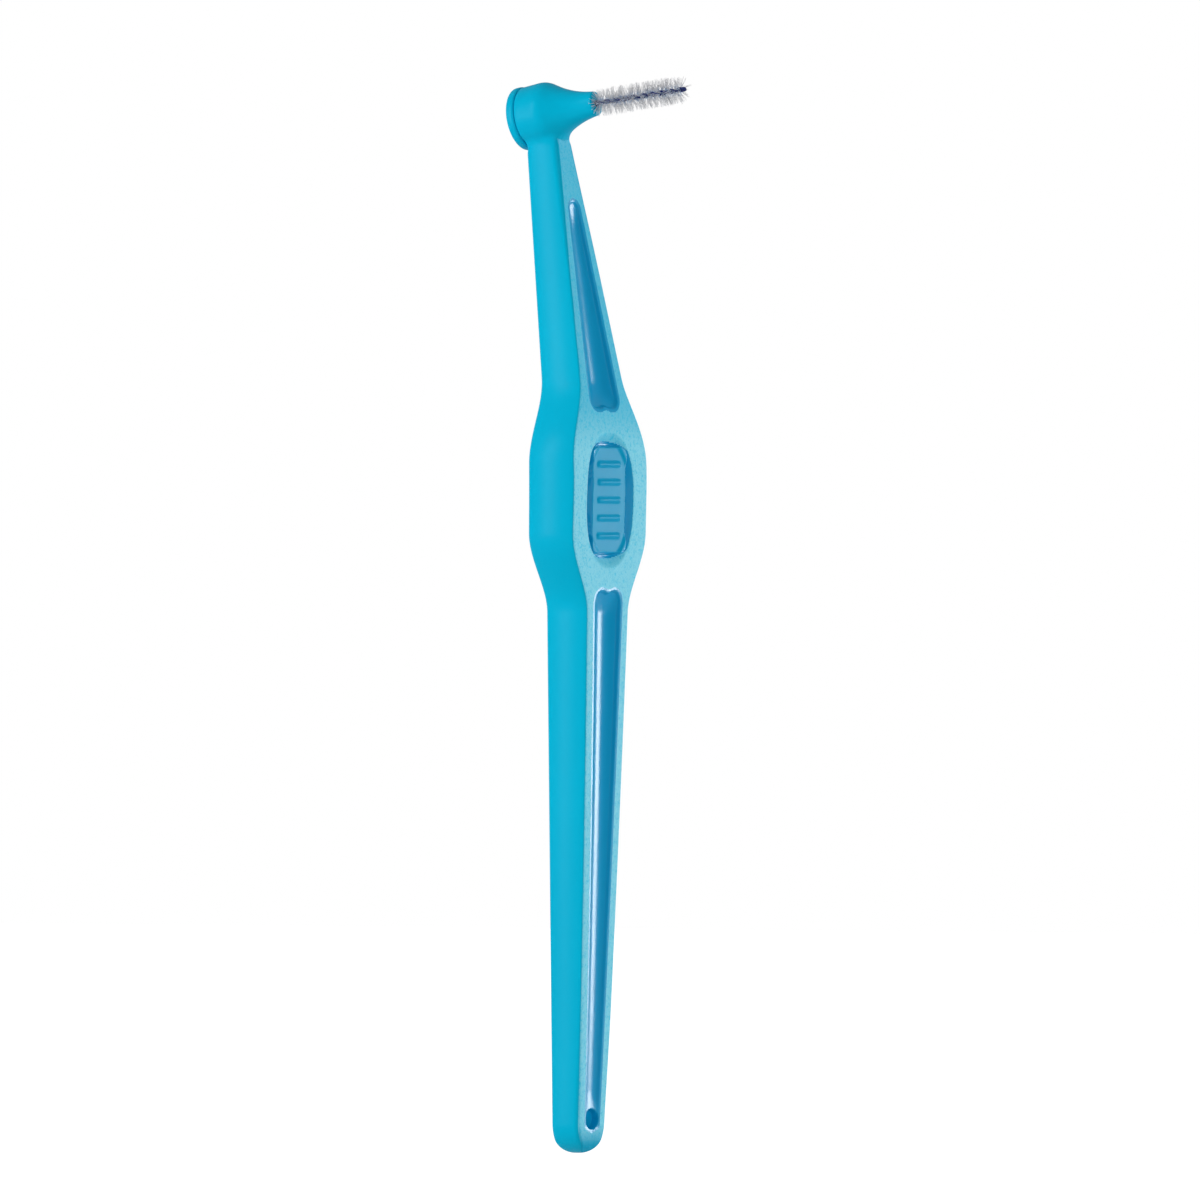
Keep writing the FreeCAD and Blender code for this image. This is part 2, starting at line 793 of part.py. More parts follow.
nodes = [make_handle(), make_rear_cap()] + make_wires() + make_filament_rows()
check_and_write(nodes)
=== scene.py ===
import bpy
import math
import random
import numpy as np
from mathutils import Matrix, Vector


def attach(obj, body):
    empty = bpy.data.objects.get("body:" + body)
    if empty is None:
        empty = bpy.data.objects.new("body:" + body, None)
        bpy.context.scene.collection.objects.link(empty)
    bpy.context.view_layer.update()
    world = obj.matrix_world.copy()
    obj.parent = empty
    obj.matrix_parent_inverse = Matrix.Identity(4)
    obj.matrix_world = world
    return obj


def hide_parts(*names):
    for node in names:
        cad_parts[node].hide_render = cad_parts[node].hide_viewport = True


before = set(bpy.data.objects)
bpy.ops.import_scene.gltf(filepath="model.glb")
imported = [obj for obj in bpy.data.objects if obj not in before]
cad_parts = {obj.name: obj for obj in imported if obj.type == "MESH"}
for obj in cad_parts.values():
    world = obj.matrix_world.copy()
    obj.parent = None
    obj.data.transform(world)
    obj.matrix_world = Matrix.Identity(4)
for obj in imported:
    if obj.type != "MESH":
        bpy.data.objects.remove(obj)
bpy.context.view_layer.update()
print("frame loaded", len(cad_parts), "nodes")

mm = 0.001
rng = random.Random(27)


# Small helpers for values and meshes

def srgb(red, green, blue):
    channels = []
    for value in (red, green, blue):
        share = value / 255
        channels.append(share / 12.92 if share <= 0.04045 else ((share + 0.055) / 1.055) ** 2.4)
    return (*channels, 1.0)


def ease(value, low, high):
    share = np.clip((value - low) / (high - low), 0.0, 1.0)
    return share * share * (3.0 - 2.0 * share)


def bend(value, centre, length):
    run = np.clip(value - centre + length / 2, 0.0, length)
    return run * run / (2 * length) + np.maximum(value - centre - length / 2, 0.0)


def roundedMin(first, second, radius):
    # nearest of two edges, with the corner between them rounded
    both = radius - np.hypot(np.maximum(radius - first, 0), np.maximum(radius - second, 0))
    return np.where((first < radius) & (second < radius), both, np.minimum(first, second))


def meshObject(name, points, faces, materials, faceSlots=None, smooth=True):
    mesh = bpy.data.meshes.new(name)
    mesh.from_pydata([tuple(point) for point in points], [], faces)
    for material in materials:
        mesh.materials.append(material)
    if faceSlots is not None:
        mesh.polygons.foreach_set("material_index", np.array(faceSlots, np.int32))
    if smooth:
        mesh.polygons.foreach_set("use_smooth", np.ones(len(mesh.polygons), bool))
    mesh.update()
    thing = bpy.data.objects.new(name, mesh)
    bpy.context.scene.collection.objects.link(thing)
    return thing


def applyModifiers(thing):
    bpy.context.view_layer.update()
    graph = bpy.context.evaluated_depsgraph_get()
    mesh = bpy.data.meshes.new_from_object(thing.evaluated_get(graph))
    thing.modifiers.clear()
    thing.data = mesh


# Shader groups shared by the finishes

def newGroup(name, inputs, outputs):
    group = bpy.data.node_groups.new(name, "ShaderNodeTree")
    for label, kind, value in inputs:
        socket = group.interface.new_socket(name=label, in_out="INPUT", socket_type=kind)
        socket.default_value = value
    for label, kind in outputs:
        group.interface.new_socket(name=label, in_out="OUTPUT", socket_type=kind)
    return group, group.nodes.new("NodeGroupInput"), group.nodes.new("NodeGroupOutput")


def addNode(tree, kind, **values):
    node = tree.nodes.new(kind)
    for label, value in values.items():
        setattr(node, label, value)
    return node


def mathNode(tree, operation, first, second):
    node = addNode(tree, "ShaderNodeMath", operation=operation)
    for index, value in enumerate((first, second)):
        if isinstance(value, (int, float)):
            node.inputs[index].default_value = value
        else:
            tree.links.new(value, node.inputs[index])
    return node.outputs[0]


def mixColour(tree, factor, first, second):
    # the colour sockets of a mix node are its inputs 6 and 7 and its output 2
    node = addNode(tree, "ShaderNodeMix", data_type="RGBA")
    for index, value in ((0, factor), (6, first), (7, second)):
        socket = node.inputs[index]
        if isinstance(value, (int, float, tuple)):
            socket.default_value = value
        else:
            tree.links.new(value, socket)
    return node.outputs[2]


def noiseNode(tree, vector, scale, detail):
    node = addNode(tree, "ShaderNodeTexNoise")
    node.inputs["Detail"].default_value = detail
    tree.links.new(vector, node.inputs["Vector"])
    if isinstance(scale, (int, float)):
        node.inputs["Scale"].default_value = scale
    else:
        tree.links.new(scale, node.inputs["Scale"])
    return node.outputs["Fac"]


def rampNode(tree, value, source, target=(0.0, 1.0), interpolation="LINEAR"):
    node = addNode(tree, "ShaderNodeMapRange", interpolation_type=interpolation)
    node.inputs["From Min"].default_value, node.inputs["From Max"].default_value = source
    node.inputs["To Min"].default_value, node.inputs["To Max"].default_value = target
    tree.links.new(value, node.inputs["Value"])
    return node.outputs["Result"]


groupForm = {
    "toneGain": 0.6, "driftDetail": 1.0, "mottleDetail": 3.0,
    "fineDetail": 3.0, "wideDetail": 2.0, "wideShare": 0.4, "tops": (0.58, 0.95),
}


def buildMouldTone():
    # slow colour drift and a little mottling, as in a moulded part
    group, source, sink = newGroup(
        "mould tone",
        [("Colour", "NodeSocketColor", (0, 0.4, 0.6, 1)),
         ("Shade", "NodeSocketColor", (0, 0.3, 0.5, 1)),
         ("Drift Scale", "NodeSocketFloat", 90.0),
         ("Mottle Scale", "NodeSocketFloat", 900.0),
         ("Mottle", "NodeSocketFloat", 0.2)],
        [("Colour", "NodeSocketColor")],
    )
    place = addNode(group, "ShaderNodeTexCoord").outputs["Object"]
    drift = noiseNode(group, place, source.outputs["Drift Scale"], groupForm["driftDetail"])
    mottle = noiseNode(group, place, source.outputs["Mottle Scale"], groupForm["mottleDetail"])
    spread = mathNode(group, "MULTIPLY", mottle, source.outputs["Mottle"])
    mask = mathNode(group, "MULTIPLY", mathNode(group, "ADD", drift, spread), groupForm["toneGain"])
    tone = mixColour(group, mask, source.outputs["Colour"], source.outputs["Shade"])
    group.links.new(tone, sink.inputs["Colour"])
    return group


def buildSparkGrain():
    # eroded mould texture: pits of two sizes, as a height and as a mask of the tops, which the grained face
    # paints bright as sparkle
    group, source, sink = newGroup(
        "spark grain",
        [("Scale", "NodeSocketFloat", 3000.0), ("Coarse", "NodeSocketFloat", 0.5)],
        [("Height", "NodeSocketFloat"), ("Tops", "NodeSocketFloat")],
    )
    place = addNode(group, "ShaderNodeTexCoord").outputs["Object"]
    fine = noiseNode(group, place, source.outputs["Scale"], groupForm["fineDetail"])
    wideScale = mathNode(group, "MULTIPLY", source.outputs["Scale"], groupForm["wideShare"])
    wide = noiseNode(group, place, wideScale, groupForm["wideDetail"])
    height = mathNode(group, "ADD", fine, mathNode(group, "MULTIPLY", wide, source.outputs["Coarse"]))
    group.links.new(height, sink.inputs["Height"])
    group.links.new(rampNode(group, height, groupForm["tops"]), sink.inputs["Tops"])
    return group


mouldTone = buildMouldTone()
sparkGrain = buildSparkGrain()
print("shader groups ready")


def newMaterial(name, finish):
    material = bpy.data.materials.new(name)
    material.use_nodes = True
    tree = material.node_tree
    shader = next(node for node in tree.nodes if node.type == "BSDF_PRINCIPLED")
    shader.inputs["Roughness"].default_value = finish["roughness"]
    shader.inputs["Specular IOR Level"].default_value = finish["specular"]
    return material, tree, shader


def placeGroup(tree, group, **values):
    node = addNode(tree, "ShaderNodeGroup", node_tree=group)
    for label, value in values.items():
        node.inputs[label.replace("_", " ")].default_value = value
    return node


def toneColour(tree, finish):
    tone = placeGroup(tree, mouldTone, Colour=finish["colour"], Shade=finish["shade"],
                      Drift_Scale=finish["driftScale"], Mottle_Scale=finish["mottleScale"],
                      Mottle=finish["mottle"])
    return tone.outputs["Colour"]


def varyRoughness(tree, shader, value, finish):
    less, more = finish["roughSpread"]
    span = (finish["roughness"] - less, finish["roughness"] + more)
    tree.links.new(rampNode(tree, value, (0.0, 1.0), span), shader.inputs["Roughness"])


def bumpFrom(tree, shader, height, finish):
    bump = addNode(tree, "ShaderNodeBump")
    bump.inputs["Strength"].default_value = finish["bump"]
    bump.inputs["Distance"].default_value = finish["bumpDepth"]
    tree.links.new(height, bump.inputs["Height"])
    tree.links.new(bump.outputs["Normal"], shader.inputs["Normal"])


def mattePlastic(name, finish):
    material, tree, shader = newMaterial(name, finish)
    tree.links.new(toneColour(tree, finish), shader.inputs["Base Color"])
    grain = placeGroup(tree, sparkGrain, Scale=finish["grainScale"], Coarse=finish["coarse"])
    varyRoughness(tree, shader, grain.outputs["Tops"], finish)
    bumpFrom(tree, shader, grain.outputs["Height"], finish)
    return material


def sparkPlastic(name, finish):
    # grain, painted pale with sparkle and sheen; up the neck a painted shade, darker and with less sheen;
    # plain and darker towards the bottom of the butt
    material, tree, shader = newMaterial(name, finish)
    tone = toneColour(tree, finish)
    grain = placeGroup(tree, sparkGrain, Scale=finish["grainScale"], Coarse=finish["coarse"])
    paintedSparkle = mathNode(tree, "MULTIPLY", grain.outputs["Tops"], finish["paintedSparkle"])
    # paler grain tops mixed into the colour: painted sparkle
    lit = mixColour(tree, paintedSparkle, tone, finish["tops"])
    place = addNode(tree, "ShaderNodeSeparateXYZ")
    tree.links.new(addNode(tree, "ShaderNodeTexCoord").outputs["Object"], place.inputs[0])
    fade = rampNode(tree, place.outputs["Z"], finish["fade"], interpolation="SMOOTHSTEP")
    # painted shade up the neck, where the face leans away from the light: darker colour, less painted sparkle
    # and less sheen
    neckShade = rampNode(tree, place.outputs["Z"], finish["neckShade"], interpolation="SMOOTHSTEP")
    neckShaded = mixColour(tree, mathNode(tree, "MULTIPLY", neckShade, finish["neckShadeShare"]), lit, finish["neckShadeColour"])
    tree.links.new(mixColour(tree, fade, finish["under"], neckShaded), shader.inputs["Base Color"])
    gain = mathNode(tree, "MULTIPLY", fade, finish["specular"] - finish["underSpecular"])
    loss = mathNode(tree, "MULTIPLY", neckShade, finish["specular"] - finish["neckShadeSpecular"])
    sheen = mathNode(tree, "SUBTRACT", mathNode(tree, "ADD", gain, finish["underSpecular"]), loss)
    tree.links.new(sheen, shader.inputs["Specular IOR Level"])
    bumpFrom(tree, shader, grain.outputs["Height"], finish)
    return material


def polishedPlastic(name, finish):
    material, tree, shader = newMaterial(name, finish)
    tree.links.new(toneColour(tree, finish), shader.inputs["Base Color"])
    place = addNode(tree, "ShaderNodeTexCoord").outputs["Object"]
    wave = noiseNode(tree, place, finish["waveScale"], finish["waveDetail"])
    varyRoughness(tree, shader, wave, finish)
    bumpFrom(tree, shader, wave, finish)
    return material


# Grip: one blank with hollows sunk into its two broad faces

# lengths in a finish are in metres
handleFinish = {
    "side": {
        "colour": srgb(0, 184, 219), "shade": srgb(0, 172, 210), "driftScale": 60.0,
        "mottleScale": 1600.0, "mottle": 0.25, "grainScale": 9000.0, "coarse": 0.6,
        "roughness": 0.3, "roughSpread": (0.04, 0.06), "specular": 0.045,
        "bump": 0.12, "bumpDepth": 0.00002,
    },
    "face": {
        # the grained face is paler than the sides: partly the grain's own scatter, partly painted sheen; its
        # pale tops are painted sparkle
        "colour": srgb(36, 203, 236), "shade": srgb(20, 194, 229), "driftScale": 70.0,
        "mottleScale": 1500.0, "mottle": 0.5, "grainScale": 4200.0, "coarse": 0.8,
        "roughness": 0.5, "specular": 0.145, "bump": 0.6, "bumpDepth": 0.00006,
        "tops": srgb(134, 224, 245), "paintedSparkle": 0.75,
        "fade": (-0.0908, -0.0868), "under": srgb(0, 166, 205), "underSpecular": 0.04,
        # painted shade up the neck: a darker colour and less sheen where the face leans away from the light
        "neckShade": (0.0065, 0.0135), "neckShadeColour": srgb(0, 186, 228), "neckShadeShare": 0.5,
        "neckShadeSpecular": 0.078,
    },
    "hollow": {
        "colour": srgb(0, 162, 213), "shade": srgb(0, 152, 205), "driftScale": 60.0,
        "mottleScale": 700.0, "mottle": 0.15, "roughness": 0.17, "roughSpread": (0.03, 0.05),
        "specular": 0.14, "waveScale": 260.0, "waveDetail": 1.0, "bump": 0.03, "bumpDepth": 0.00002,
    },
    "plate": {
        "colour": srgb(4, 168, 212), "shade": srgb(0, 154, 202), "driftScale": 200.0,
        "mottleScale": 900.0, "mottle": 0.2, "roughness": 0.36, "roughSpread": (0.03, 0.05),
        "specular": 0.035, "waveScale": 500.0, "waveDetail": 1.0, "bump": 0.05, "bumpDepth": 0.00002,
    },
}

# sizes in millimetres, heights from the centre of the grip
gripForm = {
    "buttDrop": 91.4, "buttWidth": 8.0, "buttEdge": 1.9,
    "shaftWidth": 13.5, "shaftBackAtButt": 3.3, "shaftBack": 2.93,
    "shaftFrontAtButt": 0.99, "shaftFront": 4.12, "frontBow": 0.21,
    "paddleWidth": 21.8, "paddleSwell": 0.37, "paddleLow": (-15.7, -4.6), "paddleHigh": (5.1, 17.1),
    "neckWidth": 16.7, "neckTop": 54.0, "neckTopWidth": 4.2,
    "backAngle": 7.8, "backBend": (10.6, 8.0), "frontAngle": 10.3, "frontBend": (7.45, 14.0),
    "crown": 11.0, "cornerShare": 0.4, "frontCorner": 0.4, "frontCornerAtEnds": 0.9, "backCorner": 0.8,
    "softButt": (70.0, 89.0), "softNeck": (30.0, 50.0),
    "grainTop": 50.9, "cornerGrain": (34.0, 26.0, 18.0),
}

hollowForm = {
    "upper": {"start": 12.2, "end": 42.35, "wide": 4.5, "narrow": 1.85, "tip": 1.85, "pointed": False,
              "wallDepth": 0.14, "scoop": 0.14, "scoopPower": 1.5},
    "lower": {"start": -12.15, "end": -88.74, "wide": 4.15, "narrow": 2.15, "tip": 0.84, "pointed": True,
              "wallDepth": 0.14, "scoop": 0.062, "scoopPower": 2},
    "corner": 2.4, "notch": 0.28, "lobe": 1.5, "veeCorner": 0.35,
    "ledge": 0.45, "ledgeDrop": 0.032, "wallRun": 0.4, "polishFrom": 0.02,
    "floorEnd": (0.4, 4.4), "shallow": (83.0, 86.0, 0.6), "backDepth": 0.6, "backRun": 0.25,
    "pit": {"height": -86.6, "half": 1.85, "rise": 1.5, "depth": 1.05, "run": 0.25},
    "dish": {"half": 6.6, "length": 9.6, "powers": (2.2, 2.6, 2.4), "depth": 1.05, "backDepth": 0.8,
             "start": -0.1, "run": 1.5, "polishFrom": 0.1, "polishLoss": 1.2, "polishEnds": (6.8, 9.0)},
    "plate": {"half": 4.8, "length": 7.6, "corner": 1.6, "rise": 0.8, "run": 0.22, "satinShare": 0.9},
    "ridge": {"count": 5, "pitch": 2.5, "half": 3.3, "width": 0.5, "rise": 0.24, "endRun": 0.5, "power": 1.5},
}

# rows go up the grip, columns run around it
rowForm = {
    "dome": (2.0, 84.0, 22), "start": -89.6, "clear": 0.05, "wide": 0.7,
    "fine": [(-89.6, -84.0, 0.08), (-16.6, -11.7, 0.1), (-10.2, 10.2, 0.16), (11.7, 16.4, 0.1),
             (40.0, 43.0, 0.08), (46.1, 54.0, 0.2)],
}
columnForm = {
    "places": [-91.4, -88.7, -12.2, -10.5, -8.5, -6, -3, 0, 3, 6, 8.5, 10.5, 12.2, 42.3, 54],
    "halves": [1.0, 2.15, 4.15, 4.0, 4.3, 5.4, 6.4, 6.6, 6.4, 5.4, 4.4, 4.3, 4.5, 1.85, 0.9],
    "edgeShare": 0.86, "inside": (1.05, 0.6), "outside": (0.25, 0.5),
    "inner": 24, "lip": 28, "outer": 8, "corner": 7, "side": 16,
}
sideSlot, faceSlot, hollowSlot, plateSlot, hubSlot = range(5)
frontZone, edgeZone, backZone = range(3)
tiny = 1e-6


def paddleSwell(z):
    low = ease(z, *gripForm["paddleLow"])
    high = 1.0 - ease(z, *gripForm["paddleHigh"])
    return np.where(z < 0, low, high)


def backFace(z):
    taper = (gripForm["shaftBackAtButt"] - gripForm["shaftBack"]) / gripForm["buttDrop"]
    shaft = gripForm["shaftBack"] - taper * np.minimum(z, 0.0)
    lean = math.tan(math.radians(gripForm["backAngle"])) * bend(z, *gripForm["backBend"])
    return -shaft - gripForm["paddleSwell"] * paddleSwell(z) - lean


def frontFace(z):
    slope = (gripForm["shaftFront"] - gripForm["shaftFrontAtButt"]) / gripForm["buttDrop"]
    turn = math.tan(math.radians(gripForm["frontAngle"])) + slope
    share = np.maximum(-z, 0.0) / gripForm["buttDrop"]
    bow = 4 * gripForm["frontBow"] * share * (1 - share)
    return gripForm["shaftFront"] + slope * z + bow - turn * bend(z, *gripForm["frontBend"])


def halfWidth(z):
    form = gripForm
    below = form["shaftWidth"] + (form["buttWidth"] - form["shaftWidth"]) * -z / form["buttDrop"]
    above = form["neckWidth"] + (form["neckTopWidth"] - form["neckWidth"]) * z / form["neckTop"]
    base = np.where(z < 0, below, above)
    return (base + (form["paddleWidth"] - base) * paddleSwell(z)) / 2


def inset(above, radius):
    # how far a round of this radius draws in at a height above its lowest point
    rest = np.maximum(radius - above, 0.0)
    return radius - np.sqrt(np.maximum(radius * radius - rest * rest, 0.0))


def grooveReach(y, z, groove):
    # distance inside the outline of a groove, its half width there and the distance from its nearer end
    form = hollowForm
    length = abs(groove["end"] - groove["start"])
    s = (z - groove["start"]) * np.sign(groove["end"] - groove["start"])
    out = np.abs(y)
    straight = length - groove["tip"]
    half = groove["wide"] + (groove["narrow"] - groove["wide"]) * np.clip(s / straight, 0, 1)
    side = half - out
    lobe = form["notch"] * (0.5 + 0.5 * np.cos(np.pi * np.minimum(out / form["lobe"], 1.0)))
    reach = roundedMin(side, s - lobe, form["corner"])
    if groove["pointed"]:
        slope = groove["tip"] / groove["narrow"]
        vee = (length - s - out * slope) / math.hypot(1.0, slope)
        reach = np.minimum(reach, roundedMin(side, vee, form["veeCorner"]))
    else:
        tip = groove["narrow"] - np.hypot(np.maximum(s - straight, 0.0), out)
        reach = np.where(s > straight, tip, reach)
    return reach, half, np.minimum(s, length - s)


def grooveDepth(y, z, groove, front):
    # a narrow sloping ledge, then a wall down to a shallow round floor
    form = hollowForm
    reach, half, fromEnd = grooveReach(y, z, groove)
    if not front:
        return form["backDepth"] * ease(reach, 0.0, form["backRun"]), reach
    across = np.clip(np.abs(y) / half, 0, 1)
    near, far = form["floorEnd"]
    rise = 1 - np.clip((fromEnd - near) / (far - near), 0, 1)
    bowl = groove["scoop"] * half ** groove["scoopPower"]
    floor = groove["wallDepth"] + bowl * (1 - across ** 2) * (1 - rise ** 2)
    start, end, loss = form["shallow"]
    floor = floor * (1 - loss * ease(-z, start, end))
    wall = ease(reach, form["ledge"], form["ledge"] + form["wallRun"])
    return form["ledgeDrop"] * np.clip(reach / form["ledge"], 0, 1) + floor * wall, reach


def dishReach(y, z):
    dish = hollowForm["dish"]
    sidePower, endPower, root = dish["powers"]
    shares = (np.abs(y) / dish["half"]) ** sidePower + (np.abs(z) / dish["length"]) ** endPower
    return (1 - shares ** (1 / root)) * dish["half"]


def plateReach(y, z):
    plate = hollowForm["plate"]
    return roundedMin(plate["half"] - np.abs(y), plate["length"] - np.abs(z), plate["corner"])


def plateRise(y, z):
    # plain raised plate with cross ridges for the thumb
    plate = hollowForm["plate"]
    rise = plate["rise"] * ease(plateReach(y, z), 0.0, plate["run"])
    ridge = hollowForm["ridge"]
    for number in range(ridge["count"]):
        up = (number - (ridge["count"] - 1) / 2) * ridge["pitch"]
        across = np.clip(1 - np.abs(z - up) / ridge["width"], 0, 1)
        ends = ease(ridge["half"] - np.abs(y), 0.0, ridge["endRun"])
        rise = rise + ridge["rise"] * np.sin(across * np.pi / 2) ** ridge["power"] * ends
    return rise


def faceHollows(y, z, front):
    # depth of the hollows below the face, and the material slot of each point
    depth = np.zeros_like(y)
    polish = np.zeros(y.shape, bool)
    for name in ("upper", "lower"):
        sunk, reach = grooveDepth(y, z, hollowForm[name], front)
        depth = np.maximum(depth, sunk)
        polish |= reach > hollowForm["polishFrom"]
    dish = hollowForm["dish"]
    reach = dishReach(y, z)
    dishDepth = dish["depth"] if front else dish["backDepth"]
    depth = np.maximum(depth, dishDepth * ease(reach, dish["start"], dish["run"]))
    polish |= reach > dish["polishFrom"] + dish["polishLoss"] * ease(np.abs(z), *dish["polishEnds"])
    if front:
        depth = depth - plateRise(y, z)
        pit = hollowForm["pit"]
        inside = pit["rise"] * (1 - np.hypot(y / pit["half"], (z - pit["height"]) / pit["rise"]))
        depth = np.maximum(depth, pit["depth"] * ease(inside, 0.0, pit["run"]))
        polish |= inside > hollowForm["polishFrom"]
    plate = hollowForm["plate"]
    onPlate = plateReach(y, z) > plate["run"] * plate["satinShare"]
    return depth, np.where(onPlate & front, plateSlot, np.where(polish, hollowSlot, faceSlot))


def gripRows():
    # close rows where something ends, wide ones along the straight runs
    fine, wide = rowForm["fine"], rowForm["wide"]
    radius = gripForm["buttWidth"] / 2
    first, sweep, steps = rowForm["dome"]
    rows = []
    for step in range(1, steps):
        angle = math.radians(first + sweep * step / steps)
        rows.append(radius * (1 - math.cos(angle)) - gripForm["buttDrop"])
    z = rowForm["start"]
    rows = [value for value in rows if value < z - rowForm["clear"]]
    while z < gripForm["neckTop"]:
        rows.append(z)
        step = next((size for low, high, size in fine if low - tiny <= z < high), wide)
        following = [low for low, high, size in fine if low > z + tiny]
        if following and z + step > following[0] and step == wide:
            z = following[0]
        else:
            z += step
    rows.append(gripForm["neckTop"])
    return np.array(rows)


def faceColumns(z, edge):
    # columns across one face, close together along the lips of the hollows
    form = columnForm
    guide = np.minimum(np.interp(z, form["places"], form["halves"]), edge * form["edgeShare"])
    inside, insideShare = form["inside"]
    outside, outsideShare = form["outside"]
    low = guide - np.minimum(inside, guide * insideShare)
    high = guide + np.minimum(outside, (edge - guide) * outsideShare)
    half = [low * step / form["inner"] for step in range(form["inner"])]
    half += [low + (high - low) * step / form["lip"] for step in range(form["lip"])]
    half += [high + (edge - high) * step / form["outer"] for step in range(form["outer"] + 1)]
    half = np.stack(half, axis=1)
    return np.concatenate([-half[:, :0:-1], half], axis=1)


def buildGrip():
    z = gripRows()
    above = z + gripForm["buttDrop"]
    half = halfWidth(z)
    half = half - inset(above, half)
    edge = inset(above, gripForm["buttEdge"])
    front = frontFace(z) - edge
    back = backFace(z) + edge
    middle = (front + back) / 2
    crown = gripForm["crown"]
    sideCentre = half - crown
    room = gripForm["cornerShare"] * np.minimum(half, (front - back) / 2)
    corners = {}
    softer = ease(-z, *gripForm["softButt"]) + ease(z, *gripForm["softNeck"])
    sharp, soft = gripForm["frontCorner"], gripForm["frontCornerAtEnds"]
    frontRadius = sharp + softer * (soft - sharp)
    backRadius = np.full(len(z), gripForm["backCorner"])
    for name, face, radius, inward in (("front", front, frontRadius, -1), ("back", back, backRadius, 1)):
        size = np.minimum(radius, room)
        centreX = face + inward * size
        centreY = sideCentre + np.sqrt((crown - size) ** 2 - (centreX - middle) ** 2)
        turn = np.arctan2(centreX - middle, centreY - sideCentre)
        corners[name] = {"size": size, "x": centreX, "y": centreY, "turn": turn}
    columnsX, columnsY, zones = [], [], []

    def addColumns(x, y, zone):
        columnsX.append(x)
        columnsY.append(y)
        zones.extend([zone] * x.shape[1])

    def cornerColumns(name, sign, outward):
        corner = corners[name]
        flat = math.pi / 2 if name == "front" else -math.pi / 2
        shares = np.arange(1, columnForm["corner"]) / columnForm["corner"]
        shares = shares if outward else shares[::-1]
        angle = flat + (corner["turn"][:, None] - flat) * shares[None, :]
        x = corner["x"][:, None] + corner["size"][:, None] * np.sin(angle)
        return x, sign * (corner["y"][:, None] + corner["size"][:, None] * np.cos(angle))

    def sideColumns(sign, backward):
        first, last = corners["front"]["turn"], corners["back"]["turn"]
        shares = np.arange(columnForm["side"] + 1) / columnForm["side"]
        shares = shares if backward else shares[::-1]
        angle = first[:, None] + (last - first)[:, None] * shares[None, :]
        x = middle[:, None] + crown * np.sin(angle)
        return x, sign * (sideCentre[:, None] + crown * np.cos(angle))

    rows = z[:, None]
    frontY = faceColumns(z, corners["front"]["y"])
    sunk, frontSlots = faceHollows(frontY, np.broadcast_to(rows, frontY.shape), True)
    addColumns(front[:, None] - sunk, frontY, frontZone)
    addColumns(*cornerColumns("front", 1, True), edgeZone)
    addColumns(*sideColumns(1, True), edgeZone)
    addColumns(*cornerColumns("back", 1, False), edgeZone)
    backY = faceColumns(z, corners["back"]["y"])[:, ::-1]
    sunk, backSlots = faceHollows(backY, np.broadcast_to(rows, backY.shape), False)
    addColumns(back[:, None] + sunk, backY, backZone)
    addColumns(*cornerColumns("back", -1, True), edgeZone)
    addColumns(*sideColumns(-1, False), edgeZone)
    addColumns(*cornerColumns("front", -1, False), edgeZone)
    x = np.concatenate(columnsX, axis=1)
    y = np.concatenate(columnsY, axis=1)
    zones = np.array(zones)
    pointSlots = np.full(x.shape, sideSlot)
    pointSlots[:, zones == frontZone] = frontSlots
    pointSlots[:, zones == backZone] = backSlots
    for step, top in enumerate(gripForm["cornerGrain"]):  # the face's grain runs onto its corners
        for column in (frontY.shape[1] + step, -1 - step):
            pointSlots[z < top, column] = faceSlot
            zones[column] = frontZone
    rowCount, columnCount = x.shape
    points = np.stack([x, y, np.broadcast_to(rows, x.shape)], axis=2).reshape(-1, 3) * mm
    faces, slots = [], []
    for row in range(rowCount - 1):
        low, high = row * columnCount, (row + 1) * columnCount
        for column in range(columnCount):
            following = (column + 1) % columnCount
            faces.append((low + column, low + following, high + following, high + column))
            flat = zones[column] != edgeZone and zones[following] == zones[column]
            grained = flat and z[row + 1] <= gripForm["grainTop"] + tiny
            shared = min(pointSlots[row, column], pointSlots[row, following], pointSlots[row + 1, column])
            slots.append(shared if grained else sideSlot)
    faces.append(tuple(range(columnCount))[::-1])
    faces.append(tuple(range((rowCount - 1) * columnCount, rowCount * columnCount)))
    slots += [sideSlot, sideSlot]
    print("grip mesh", rowCount, "rows", columnCount, "columns")
    return points, faces, slots


# Hub and rear cap: turned about the tilted axis of the head

headForm = {
    "mouth": (1.86, 0.0, 55.54), "tilt": 10.0, "length": 11.1,
    "bore": 0.435, "boreDepth": 3.0, "boreRound": 0.1, "mouthRadius": 1.7, "mouthRound": 0.22,
    "waist": (3.6, 2.25, 14.0), "shoulder": (7.4, 4.5, 3.0), "seam": (11.1, 4.33, 0.34),
    "capRadius": 4.45, "capThickness": 1.25, "capRound": 0.42, "seamRound": 0.34,
    "turnSteps": 128, "hubArc": 10, "capArc": 8, "ringGap": 0.25,
    "blendReach": 1.5, "blendBelow": 6.0, "blendRounds": 60, "blendRate": 0.6,
}


